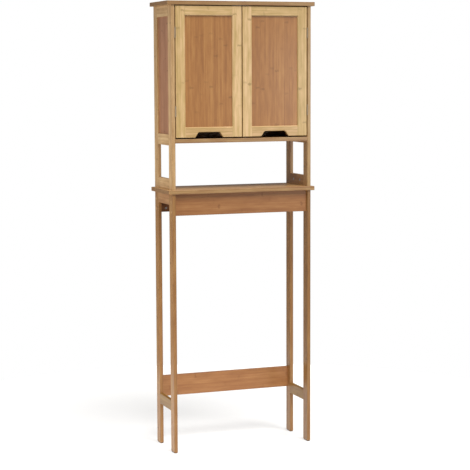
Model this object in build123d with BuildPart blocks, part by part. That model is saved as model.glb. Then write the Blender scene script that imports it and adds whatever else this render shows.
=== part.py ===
# Over-the-toilet bamboo storage rack, in millimetres.
# +X is to the right, -Y is the front and +Z is up. The origin is on the floor, under the
# middle of the shelf board. Two side frames carry a shelf board, a two-door cabinet stands
# on that on four posts, and the bay below is open for the toilet.

import math
import os

from build123d import *

os.makedirs("parts", exist_ok=True)

# Overall sizes
rack_height = 1780
frame_width = 585        # outside of the side frames
frame_depth = 226        # front of the front posts to rear of the rear posts
side_overhang = 16       # shelf and top boards past the side frames
front_overhang = 4       # the same boards in front of the posts

# Stock
board_thickness = 16     # shelf, cabinet floor and top boards
bar_thickness = 14       # legs, posts and side rails, across the rack
bar_width = 43           # the same bars, along the side of the rack
bar_easing = 1.5         # rounding along the edges of the bars
board_easing = 1.5       # rounding along the edges of the boards
board_corner = 3         # rounding at the corners of the overhanging boards
thin_panel = 4           # side, back and door panels
groove_depth = 5         # how deep the panels' grooves are
groove_slack = 0.5       # room at the bottom of a groove for the panel to swell

# Heights above the floor
glide_height = 3
shelf_top = 1046
cabinet_floor_top = 1245
cross_rail_bottom = 165
back_rail_bottom = 191
inner_shelf_bottom = 1490
mid_rail_drop = 9.5      # mid rails reach this far below the cabinet floor board

# Aprons and lower back rail
apron_height = 85
apron_thickness = 14
apron_inset = 10         # behind the face of the legs

# Glides under the legs
glide_inset = 1.5        # the pad's edge, inside the foot of the leg
glide_corner = 2
glide_peg_radius = 2.5
glide_peg_length = 12
glide_peg_slack = 1

# Side panels, back panel, wall rail and inner shelf
side_panel_recess = 6
back_panel_inset = 13    # rear face of the posts to the rear face of the back panel
wall_rail_height = 40
wall_rail_thickness = 14
wall_hole_radius = 2.75
wall_hole_spacing = 400
inner_shelf_thickness = 12
inner_shelf_end_gap = 2
inner_shelf_front_gap = 6
inner_shelf_rear_gap = 1
pin_radius = 2.5
pin_depth = 9
pin_slack = 1            # left free at the bottom of the pin's hole
pin_reach = 9
pin_collar_radius = 4
pin_collar_height = 1.5
pin_row_pitch = 32
pin_from_edge = 12       # along the post, from its edge beside the side panel

# Doors
door_thickness = 15
door_side_gap = 3
door_centre_gap = 3
door_top_gap = 3
door_bottom_gap = 5
stile_width = 40
door_top_rail_height = 38
door_bottom_rail_height = 41
door_panel_recess = 5
door_easing = 2
opening_bevel = 3
tenon_thickness = 5
tenon_length = 14
tenon_shoulder = 8
tenon_slack = 0.5
tenon_groove_gap = 2     # between a tenon and the panel's groove
notch_bottom_width = 116
notch_top_width = 88
notch_height = 21
notch_inner_radius = 6
notch_outer_radius = 5

# Hinges
hinge_length = 40
hinge_from_door_end = 103
hinge_axis_proud = 1     # hinge axis in front of the door's face
knuckle_radius = 3
knuckle_count = 5
knuckle_gap = 0.25
hinge_pin_radius = 1.25
hinge_pin_clearance = 0.05
hinge_pin_head_radius = 2.2
hinge_pin_head = 1
leaf_thickness = 1.2
leaf_edge_gap = 1.5      # leaf's rear edge to the door's rear face
leaf_knuckle_gap = 0.4
hinge_relief_gap = 0.3
hinge_relief_end_gap = 0.5
hinge_screw_spacing = 24

# Fasteners
screw_radius = 1.5
screw_head_radius = 2.7
screw_length = 12
screw_slot = (3, 0.6, 0.7)    # length, width and depth of the driver recess
dowel_radius = 3
dowel_length = 30
dowel_slack = 1
dowel_spacing = 24
floor_dowel_from_edge = 7     # from the front or rear edge of the cabinet floor board
blind_dowel_depth = 11   # dowel in the thickness of a post
shelf_dowel_reach = 15   # shelf dowel into the leg and into the post
bolt_radius = 3
bolt_hole_radius = 3.3
bolt_head_radius = 5.5
bolt_head_height = 3.5
hex_across_flats = 4
hex_socket_depth = 2.2
bolt_counterbore_radius = 6
bolt_counterbore_depth = 5.5
bolt_cap_height = 2
bolt_past_nut = 7.5
bolt_hole_past_nut = 10
nut_radius = 5
nut_length = 12
nut_slot_width = 1.4     # the slot that turns the nut's thread towards the bolt
nut_slot_depth = 1.2
nut_from_end = 24
apron_bolt_low = 15      # above the lower edge of an apron
apron_bolt_pitch = 40
shelf_bolt_spacing = 64
cam_radius = 6
cam_depth = 12.5
cam_reach = 24           # board's end to the centre of the cam
cam_slot = (7, 1.2, 1.6)
cam_shank_radius = 3.5
cam_neck_radius = 2.2
cam_head_height = 3
cam_head_lead = 1        # the bolt's head starts this far before the cam's centre
cam_cavity_lead = 1.5    # and so does the cavity that it turns in
cam_cavity_radius = 4
cam_thread_radius = 2.5
cam_thread_length = 11
cam_hole_slack = 2       # the bolt's hole past the end of its shank
floor_cam_from_front = 19     # from the front edge of the cabinet floor board
floor_cam_from_back_panel = 9
top_cam_spacing = 84

# Magnetic catch and strike plates
catch_width = 72
catch_depth = 15
catch_height = 14
catch_corner = 1.5
catch_web = 2            # plastic between the screw heads and the top board
catch_screw_inset = 5
catch_access_radius = 3  # the driver's way up to each screw
magnet_width = 24
magnet_height = 10
magnet_depth = 6
strike_width = 26
strike_height = 12
strike_thickness = 1
strike_corner = 2
strike_below_top = 4
catch_contact_gap = 0.2

# Working values
overcut = 1              # how far a cut starts outside the wood
near = 0.1               # how closely an edge is found by its place

# Places worked out from the sizes above
board_width = frame_width + 2 * side_overhang
board_depth = frame_depth + front_overhang
rear_y = board_depth / 2
front_y = rear_y - frame_depth
outer_x = frame_width / 2
inner_x = outer_x - bar_thickness
bar_x = outer_x - bar_thickness / 2
rail_front_y = front_y + bar_width
rail_rear_y = rear_y - bar_width
rail_middle_y = (rail_front_y + rail_rear_y) / 2
post_y = {"front": front_y + bar_width / 2, "rear": rear_y - bar_width / 2}
rail_end_y = {"front": rail_front_y, "rear": rail_rear_y}
side_sign = {"left": -1, "right": 1}
shelf_bottom = shelf_top - board_thickness
cabinet_floor_bottom = cabinet_floor_top - board_thickness
top_bottom = rack_height - board_thickness
apron_bottom = shelf_bottom - apron_height
mid_rail_bottom = cabinet_floor_bottom - mid_rail_drop
top_rail_bottom = top_bottom - bar_width
lower_side_rail_bottom = shelf_bottom - bar_width
apron_y = {
    "front": front_y + apron_inset + apron_thickness / 2,
    "rear": rear_y - apron_inset - apron_thickness / 2,
}
back_panel_rear_y = rear_y - back_panel_inset
back_panel_front_y = back_panel_rear_y - thin_panel
wall_rail_y = back_panel_front_y - wall_rail_thickness / 2
wall_rail_z = top_bottom - wall_rail_height / 2
wall_dowel_z = top_rail_bottom + bar_width / 2
apron_bolt_heights = [apron_bottom + apron_bolt_low + i * apron_bolt_pitch for i in range(2)]
back_bolt_heights = [back_rail_bottom + apron_bolt_low + i * apron_bolt_pitch for i in range(2)]

door_bottom = cabinet_floor_top + door_bottom_gap
door_top = top_bottom - door_top_gap
door_rear_y = front_y + door_thickness
door_outer_x = inner_x - door_side_gap
door_inner_x = door_centre_gap / 2
door_middle_x = (door_outer_x + door_inner_x) / 2
opening_bottom = door_bottom + door_bottom_rail_height
opening_top = door_top - door_top_rail_height
opening_width = door_outer_x - door_inner_x - 2 * stile_width
door_panel_y = front_y + door_panel_recess + thin_panel / 2
hinge_x = inner_x - door_side_gap / 2
hinge_y = front_y - hinge_axis_proud
hinge_heights = [door_bottom + hinge_from_door_end, door_top - hinge_from_door_end]
hinge_screw_y = front_y + door_thickness / 2
leaf_rear_y = door_rear_y - leaf_edge_gap
strike_z = door_top - strike_below_top - strike_height / 2
strike_x = door_inner_x + stile_width / 2
catch_front_y = door_rear_y + strike_thickness + catch_contact_gap

from_base = (Align.CENTER, Align.CENTER, Align.MIN)


def save(piece, name):
    piece.part.label = name
    export_step(piece.part, f"parts/{name}.step")


def slab(x_range, y_range, z_range, mode=Mode.ADD):
    # a box between two limits on each axis
    middle = [(low + high) / 2 for low, high in (x_range, y_range, z_range)]
    size = [high - low for low, high in (x_range, y_range, z_range)]
    with Locations(tuple(middle)):
        Box(*size, mode=mode)


def rod(start, direction, radius, length, mode=Mode.ADD):
    # a round bar, or a drilled hole, that starts at a point and runs along a direction
    with Locations(Plane(origin=start, z_dir=direction)):
        Cylinder(radius, length, align=from_base, mode=mode)


def screw(start, direction, mode=Mode.ADD):
    # a countersunk wood screw, or the hole that it fills, with its head flush at the start
    head_height = screw_head_radius - screw_radius
    with Locations(Plane(origin=start, z_dir=direction)):
        Cone(screw_head_radius, screw_radius, head_height, align=from_base, mode=mode)
        Cylinder(screw_radius, screw_length, align=from_base, mode=mode)


def cross_slots(start, direction, slot):
    # the driver recess in a screw head or a cam
    length, width, depth = slot
    with Locations(Plane(origin=start, z_dir=direction)):
        Box(length, width, depth, align=from_base, mode=Mode.SUBTRACT)
        Box(width, length, depth, align=from_base, mode=Mode.SUBTRACT)


def dowel(middle, direction, before, after, mode=Mode.ADD):
    # a dowel across a joint, before and after the joint's face
    slack = 0 if mode == Mode.ADD else dowel_slack
    start = Vector(middle) - Vector(direction) * (before + slack)
    rod(start, direction, dowel_radius, before + after + 2 * slack, mode)


# The dowels at the ends of a side rail lie along Y, half in the rail and half in the bar.
def rail_dowels(side, row, rail_bottom, mode=Mode.ADD):
    for offset in (-dowel_spacing / 2, dowel_spacing / 2):
        middle = (side * bar_x, rail_end_y[row], rail_bottom + bar_width / 2 + offset)
        dowel(middle, (0, 1, 0), dowel_length / 2, dowel_length / 2, mode)


# The dowels of the cabinet floor board and of the wall rail run from the inner face of a
# post into the end of the board.
floor_dowel_y = {
    "front": front_y + floor_dowel_from_edge,
    "rear": rear_y - floor_dowel_from_edge,
}
floor_cam_y = {
    "front": front_y + floor_cam_from_front,
    "rear": back_panel_front_y - floor_cam_from_back_panel,
}


def end_dowel(side, y, z, mode=Mode.ADD):
    into_board = dowel_length - blind_dowel_depth
    dowel((side * inner_x, y, z), (-side, 0, 0), blind_dowel_depth, into_board, mode)


def shelf_dowel(side, row, mode=Mode.ADD):
    middle = (side * bar_x, post_y[row], shelf_top)
    dowel(middle, (0, 0, 1), board_thickness + shelf_dowel_reach, shelf_dowel_reach, mode)


# Bolts run through a leg, or up through a lower side rail, into a barrel nut.
def bolt(seat, direction, nut_distance, mode=Mode.ADD):
    if mode == Mode.ADD:
        head_start = Vector(seat) - Vector(direction) * bolt_head_height
        rod(head_start, direction, bolt_head_radius, bolt_head_height)
        rod(seat, direction, bolt_radius, nut_distance + bolt_past_nut)
    else:
        mouth = Vector(seat) - Vector(direction) * bolt_counterbore_depth
        rod(mouth, direction, bolt_counterbore_radius, bolt_counterbore_depth, mode)
        rod(seat, direction, bolt_hole_radius, nut_distance + bolt_hole_past_nut, mode)


def hex_socket(seat, direction):
    # the key socket in the head of a bolt
    top = Vector(seat) - Vector(direction) * bolt_head_height
    side = hex_across_flats / math.sqrt(3)
    with Locations(Plane(origin=top, z_dir=direction)):
        for turn in (0, 60, 120):
            Box(
                hex_across_flats,
                side,
                hex_socket_depth,
                rotation=(0, 0, turn),
                align=from_base,
                mode=Mode.SUBTRACT,
            )


def apron_bolt(side, row, z, mode=Mode.ADD):
    seat = (side * (outer_x - bolt_counterbore_depth), apron_y[row], z)
    leg_left = bar_thickness - bolt_counterbore_depth
    bolt(seat, (-side, 0, 0), leg_left + nut_from_end, mode)


shelf_bolt_seat_z = lower_side_rail_bottom + bolt_counterbore_depth
shelf_nut_z = shelf_top + bar_width / 2
shelf_bolt_rows = [rail_middle_y - shelf_bolt_spacing / 2, rail_middle_y + shelf_bolt_spacing / 2]


def shelf_bolt(side, y, mode=Mode.ADD):
    seat = (side * bar_x, y, shelf_bolt_seat_z)
    bolt(seat, (0, 0, 1), shelf_nut_z - shelf_bolt_seat_z, mode)


def barrel_nut(face_point, direction, mode=Mode.ADD):
    rod(face_point, direction, nut_radius, nut_length, mode)
    if mode == Mode.ADD:
        with Locations(Plane(origin=face_point, z_dir=direction)):
            Box(
                2 * nut_radius,
                nut_slot_width,
                nut_slot_depth,
                align=from_base,
                mode=Mode.SUBTRACT,
            )


def apron_nut_face(side, row, z, nut_way):
    # the mouth of the nut's hole, in the apron's rear face for 1 or its front face for -1
    x = side * (inner_x - nut_from_end)
    return (x, apron_y[row] + nut_way * apron_thickness / 2, z), (0, -nut_way, 0)


def shelf_nut_face(side, y):
    return (side * inner_x, y, shelf_nut_z), (side, 0, 0)


# The two aprons and the lower back rail: row of legs, lower edge, bolt heights, and the
# face that the barrel nuts go into, which is the one that is out of sight.
crossbars = {
    "front_apron": ("front", apron_bottom, apron_bolt_heights, 1),
    "rear_apron": ("rear", apron_bottom, apron_bolt_heights, -1),
    "lower_back_rail": ("rear", back_rail_bottom, back_bolt_heights, 1),
}

# Each place where a bolt holds one of them: side, row, height and the nut's face.
bolted_joints = []
for row, bottom, heights, nut_way in crossbars.values():
    for z in heights:
        for side in side_sign.values():
            bolted_joints.append((side, row, z, nut_way))


# Cam fittings: a bolt screwed into one piece, and a cam that grips its head in the other.
def cam_bolt(face_point, direction, mode=Mode.ADD):
    face = Vector(face_point)
    way = Vector(direction)
    thread_start = face - way * cam_thread_length
    shank_length = cam_reach - cam_radius
    head_start = face + way * (cam_reach - cam_head_lead)
    if mode == Mode.ADD:
        rod(thread_start, direction, cam_thread_radius, cam_thread_length)
        rod(face, direction, cam_shank_radius, shank_length)
        rod(face, direction, cam_neck_radius, cam_reach)
        rod(head_start, direction, cam_shank_radius, cam_head_height)
    else:
        rod(thread_start, direction, cam_thread_radius, cam_thread_length, mode)
        rod(face, direction, cam_shank_radius, shank_length + cam_hole_slack, mode)


def cam_lock(mouth, inward, bolt_face, bolt_way):
    # the cam's barrel, its slots, and the cavity that the bolt's head turns in
    rod(mouth, inward, cam_radius, cam_depth)
    neck_start = Vector(bolt_face) + Vector(bolt_way) * (cam_reach - cam_radius)
    cavity_start = Vector(bolt_face) + Vector(bolt_way) * (cam_reach - cam_cavity_lead)
    rod(neck_start, bolt_way, cam_neck_radius, cam_radius, Mode.SUBTRACT)
    cavity_height = cam_head_height + cam_cavity_lead
    rod(cavity_start, bolt_way, cam_cavity_radius, cavity_height, Mode.SUBTRACT)
    cross_slots(mouth, inward, cam_slot)


def floor_cam(side, row):
    # mouth and direction of the cam, then face and direction of its bolt
    y = floor_cam_y[row]
    middle_z = cabinet_floor_bottom + board_thickness / 2
    mouth = (side * (inner_x - cam_reach), y, cabinet_floor_bottom)
    return mouth, (0, 0, 1), (side * inner_x, y, middle_z), (-side, 0, 0)


def top_cam(side, y):
    mouth = (side * inner_x, y, top_bottom - cam_reach)
    return mouth, (side, 0, 0), (side * bar_x, y, top_bottom), (0, 0, -1)


top_cam_rows = [rail_middle_y - top_cam_spacing / 2, rail_middle_y + top_cam_spacing / 2]


def hinge_cylinder(side, z, radius, length, mode):
    # a cylinder about the hinge axis, centred at a height
    rod((side * hinge_x, hinge_y, z - length / 2), (0, 0, 1), radius, length, mode)


def hinge_relief(side):
    length = hinge_length + 2 * (hinge_pin_head + hinge_relief_end_gap)
    for z in hinge_heights:
        hinge_cylinder(side, z, knuckle_radius + hinge_relief_gap, length, Mode.SUBTRACT)


def hinge_screws(side, x, way, mode=Mode.ADD):
    for z in hinge_heights:
        for offset in (-hinge_screw_spacing / 2, hinge_screw_spacing / 2):
            start = (side * x, hinge_screw_y, z + offset)
            screw(start, (side * way, 0, 0), mode)
            if mode == Mode.ADD:
                cross_slots(start, (side * way, 0, 0), screw_slot)


catch_screw_reach = catch_width / 2 - catch_screw_inset
catch_screw_rows = [-catch_screw_reach, 0, catch_screw_reach]
catch_screw_y = catch_front_y + catch_depth - catch_screw_inset
catch_screw_z = top_bottom - catch_web

# Lower side frames

for side_name, side in side_sign.items():
    for row, y in post_y.items():
        with BuildPart() as leg:
            with BuildSketch(Plane.XY.offset(glide_height)):
                with Locations((side * bar_x, y)):
                    Rectangle(bar_thickness, bar_width)
            extrude(amount=shelf_bottom - glide_height)
            fillet(leg.edges().filter_by(Axis.Z), bar_easing)
            rail_dowels(side, row, lower_side_rail_bottom, Mode.SUBTRACT)
            rail_dowels(side, row, cross_rail_bottom, Mode.SUBTRACT)
            shelf_dowel(side, row, Mode.SUBTRACT)
            for joint_side, joint_row, z, nut_way in bolted_joints:
                if joint_side == side and joint_row == row:
                    apron_bolt(side, row, z, Mode.SUBTRACT)
            peg_hole = glide_peg_length + glide_peg_slack
            rod((side * bar_x, y, glide_height), (0, 0, 1), glide_peg_radius, peg_hole, Mode.SUBTRACT)
        save(leg, f"{row}_leg_{side_name}")

    with BuildPart() as lower_side_rail:
        with BuildSketch(Plane.XZ.offset(-rail_front_y)):
            with Locations((side * bar_x, lower_side_rail_bottom + bar_width / 2)):
                Rectangle(bar_thickness, bar_width)
        extrude(amount=rail_front_y - rail_rear_y)
        fillet(lower_side_rail.edges().filter_by(Axis.Y).group_by(Axis.Z)[0], bar_easing)
        for row in post_y:
            rail_dowels(side, row, lower_side_rail_bottom, Mode.SUBTRACT)
        for y in shelf_bolt_rows:
            shelf_bolt(side, y, Mode.SUBTRACT)
    save(lower_side_rail, f"lower_side_rail_{side_name}")

    with BuildPart() as cross_rail:
        with BuildSketch(Plane.XZ.offset(-rail_front_y)):
            with Locations((side * bar_x, cross_rail_bottom + bar_width / 2)):
                Rectangle(bar_thickness, bar_width)
        extrude(amount=rail_front_y - rail_rear_y)
        fillet(cross_rail.edges().filter_by(Axis.Y), bar_easing)
        for row in post_y:
            rail_dowels(side, row, cross_rail_bottom, Mode.SUBTRACT)
    save(cross_rail, f"cross_rail_{side_name}")

# Aprons and back rail

for name, (row, bottom, heights, nut_way) in crossbars.items():
    with BuildPart() as crossbar:
        y_limits = (apron_y[row] - apron_thickness / 2, apron_y[row] + apron_thickness / 2)
        slab((-inner_x, inner_x), y_limits, (bottom, bottom + apron_height))
        long_edges = crossbar.edges().filter_by(Axis.X)
        if name == "lower_back_rail":
            fillet(long_edges, bar_easing)
        else:
            fillet(long_edges.group_by(Axis.Z)[0], bar_easing)
        for side in side_sign.values():
            for z in heights:
                apron_bolt(side, row, z, Mode.SUBTRACT)
                face, inward = apron_nut_face(side, row, z, nut_way)
                barrel_nut(face, inward, mode=Mode.SUBTRACT)
    save(crossbar, name)

# Feet

with BuildPart() as foot_glides:
    pad_thickness = bar_thickness - 2 * glide_inset
    pad_width = bar_width - 2 * glide_inset
    for side in side_sign.values():
        for y in post_y.values():
            with BuildSketch(Plane.XY):
                with Locations((side * bar_x, y)):
                    RectangleRounded(pad_thickness, pad_width, glide_corner)
            extrude(amount=glide_height)
            rod((side * bar_x, y, glide_height), (0, 0, 1), glide_peg_radius, glide_peg_length)
save(foot_glides, "foot_glides")

# Shelf and top boards

with BuildPart() as shelf_board:
    with BuildSketch(Plane.XY.offset(shelf_bottom)):
        Rectangle(board_width, board_depth)
    extrude(amount=board_thickness)
    fillet(shelf_board.edges().filter_by(Axis.Z), board_corner)
    fillet(shelf_board.faces().filter_by(Axis.Z).edges(), board_easing)
    for side in side_sign.values():
        for row in post_y:
            shelf_dowel(side, row, Mode.SUBTRACT)
        for y in shelf_bolt_rows:
            shelf_bolt(side, y, Mode.SUBTRACT)
save(shelf_board, "shelf_board")

with BuildPart() as top_board:
    with BuildSketch(Plane.XY.offset(top_bottom)):
        Rectangle(board_width, board_depth)
    extrude(amount=board_thickness)
    fillet(top_board.edges().filter_by(Axis.Z), board_corner)
    fillet(top_board.faces().filter_by(Axis.Z).edges(), board_easing)
    groove_x = inner_x + groove_depth
    slab(
        (-groove_x, groove_x),
        (back_panel_front_y, back_panel_rear_y),
        (top_bottom - groove_depth, top_bottom + groove_depth),
        Mode.SUBTRACT,
    )
    for side in side_sign.values():
        for y in top_cam_rows:
            mouth, inward, bolt_face, bolt_way = top_cam(side, y)
            cam_bolt(bolt_face, bolt_way, Mode.SUBTRACT)
    for x in catch_screw_rows:
        screw((x, catch_screw_y, catch_screw_z), (0, 0, 1), Mode.SUBTRACT)
save(top_board, "top_board")

# Upper side frames

for side_name, side in side_sign.items():
    panel_x = side * (outer_x - side_panel_recess - thin_panel / 2)
    panel_limits = (panel_x - thin_panel / 2, panel_x + thin_panel / 2)
    panel_bottom = mid_rail_bottom + bar_width
    groove_z = (panel_bottom - groove_depth, top_rail_bottom + groove_depth)
    groove_y = (rail_front_y - groove_depth, rail_rear_y + groove_depth)

    for row, y in post_y.items():
        with BuildPart() as post:
            with BuildSketch(Plane.XY.offset(shelf_top)):
                with Locations((side * bar_x, y)):
                    Rectangle(bar_thickness, bar_width)
            extrude(amount=top_bottom - shelf_top)
            fillet(post.edges().filter_by(Axis.Z), bar_easing)
            for rail_bottom in (shelf_top, mid_rail_bottom, top_rail_bottom):
                rail_dowels(side, row, rail_bottom, Mode.SUBTRACT)
            shelf_dowel(side, row, Mode.SUBTRACT)
            slab(panel_limits, groove_y, groove_z, Mode.SUBTRACT)
            floor_z = cabinet_floor_bottom + board_thickness / 2
            end_dowel(side, floor_dowel_y[row], floor_z, Mode.SUBTRACT)
            mouth, inward, bolt_face, bolt_way = floor_cam(side, row)
            cam_bolt(bolt_face, bolt_way, Mode.SUBTRACT)
            pin_y = rail_front_y - pin_from_edge
            if row == "rear":
                pin_y = rail_rear_y + pin_from_edge
            for step in (-1, 0, 1):
                pin_z = inner_shelf_bottom - pin_radius + step * pin_row_pitch
                start = (side * inner_x, pin_y, pin_z)
                rod(start, (side, 0, 0), pin_radius, pin_depth, Mode.SUBTRACT)
            if row == "front":
                hinge_relief(side)
                hinge_screws(side, inner_x - leaf_thickness, 1, Mode.SUBTRACT)
            else:
                end_dowel(side, wall_rail_y, wall_dowel_z, Mode.SUBTRACT)
                back_groove_x = sorted((side * (inner_x - overcut), side * (inner_x + groove_depth)))
                slab(
                    back_groove_x,
                    (back_panel_front_y, back_panel_rear_y),
                    (cabinet_floor_top - groove_depth, top_bottom),
                    Mode.SUBTRACT,
                )
        save(post, f"{row}_post_{side_name}")

    upper_rails = {
        "base_rail": shelf_top,
        "mid_rail": mid_rail_bottom,
        "top_side_rail": top_rail_bottom,
    }
    for name, bottom in upper_rails.items():
        with BuildPart() as upper_rail:
            with BuildSketch(Plane.XZ.offset(-rail_front_y)):
                with Locations((side * bar_x, bottom + bar_width / 2)):
                    Rectangle(bar_thickness, bar_width)
            extrude(amount=rail_front_y - rail_rear_y)
            long_edges = upper_rail.edges().filter_by(Axis.Y)
            if name == "base_rail":
                fillet(long_edges.group_by(Axis.Z)[-1], bar_easing)
            elif name == "mid_rail":
                fillet(long_edges, bar_easing)
            else:
                fillet(long_edges.group_by(Axis.Z)[0], bar_easing)
            for row in post_y:
                rail_dowels(side, row, bottom, Mode.SUBTRACT)
            if name == "base_rail":
                for y in shelf_bolt_rows:
                    shelf_bolt(side, y, Mode.SUBTRACT)
                    face, inward = shelf_nut_face(side, y)
                    barrel_nut(face, inward, mode=Mode.SUBTRACT)
            else:
                slab(panel_limits, (rail_front_y, rail_rear_y), groove_z, Mode.SUBTRACT)
            if name == "top_side_rail":
                for y in top_cam_rows:
                    mouth, inward, bolt_face, bolt_way = top_cam(side, y)
                    cam_bolt(bolt_face, bolt_way, Mode.SUBTRACT)
                    rod(mouth, inward, cam_radius, cam_depth, Mode.SUBTRACT)
        save(upper_rail, f"{name}_{side_name}")

    with BuildPart() as side_panel:
        slab(
            panel_limits,
            (groove_y[0] + groove_slack, groove_y[1] - groove_slack),
            (groove_z[0] + groove_slack, groove_z[1] - groove_slack),
        )
    save(side_panel, f"side_panel_{side_name}")

# Cabinet

with BuildPart() as cabinet_floor_board:
    slab((-inner_x, inner_x), (front_y, rear_y), (cabinet_floor_bottom, cabinet_floor_top))
    fillet(cabinet_floor_board.edges().filter_by(Axis.X), board_easing)
    slab(
        (-inner_x, inner_x),
        (back_panel_front_y, back_panel_rear_y),
        (cabinet_floor_top - groove_depth, cabinet_floor_top),
        Mode.SUBTRACT,
    )
    for side in side_sign.values():
        for row in post_y:
            floor_z = cabinet_floor_bottom + board_thickness / 2
            end_dowel(side, floor_dowel_y[row], floor_z, Mode.SUBTRACT)
            mouth, inward, bolt_face, bolt_way = floor_cam(side, row)
            cam_bolt(bolt_face, bolt_way, Mode.SUBTRACT)
            rod(mouth, inward, cam_radius, cam_depth, Mode.SUBTRACT)
save(cabinet_floor_board, "cabinet_floor_board")

wall_holes = [-wall_hole_spacing / 2, wall_hole_spacing / 2]

with BuildPart() as cabinet_back_panel:
    panel_half = inner_x + groove_depth - groove_slack
    slab(
        (-panel_half, panel_half),
        (back_panel_front_y, back_panel_rear_y),
        (cabinet_floor_top - groove_depth + groove_slack, top_bottom + groove_depth - groove_slack),
    )
    for x in wall_holes:
        start = (x, back_panel_front_y, wall_rail_z)
        rod(start, (0, 1, 0), wall_hole_radius, thin_panel, Mode.SUBTRACT)
save(cabinet_back_panel, "cabinet_back_panel")

with BuildPart() as wall_fixing_rail:
    wall_rail_front_y = back_panel_front_y - wall_rail_thickness
    slab(
        (-inner_x, inner_x),
        (wall_rail_front_y, back_panel_front_y),
        (top_bottom - wall_rail_height, top_bottom),
    )
    front_edges = wall_fixing_rail.faces().sort_by(Axis.Y)[0].edges().filter_by(Axis.X)
    fillet(front_edges.sort_by(Axis.Z)[0], bar_easing)
    for side in side_sign.values():
        end_dowel(side, wall_rail_y, wall_dowel_z, Mode.SUBTRACT)
    for x in wall_holes:
        start = (x, wall_rail_front_y, wall_rail_z)
        rod(start, (0, 1, 0), wall_hole_radius, wall_rail_thickness, Mode.SUBTRACT)
save(wall_fixing_rail, "wall_fixing_rail")

with BuildPart() as inner_shelf:
    shelf_half = inner_x - inner_shelf_end_gap
    slab(
        (-shelf_half, shelf_half),
        (door_rear_y + inner_shelf_front_gap, back_panel_front_y - inner_shelf_rear_gap),
        (inner_shelf_bottom, inner_shelf_bottom + inner_shelf_thickness),
    )
    fillet(inner_shelf.edges().filter_by(Axis.X), board_easing)
save(inner_shelf, "inner_shelf")

with BuildPart() as shelf_pins:
    for side in side_sign.values():
        for y in (rail_front_y - pin_from_edge, rail_rear_y + pin_from_edge):
            pin_z = inner_shelf_bottom - pin_radius
            seated = pin_depth - pin_slack
            start = (side * (inner_x + seated), y, pin_z)
            rod(start, (-side, 0, 0), pin_radius, seated + pin_reach)
            rod((side * inner_x, y, pin_z), (-side, 0, 0), pin_collar_radius, pin_collar_height)
save(shelf_pins, "shelf_pins")

# Doors

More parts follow.
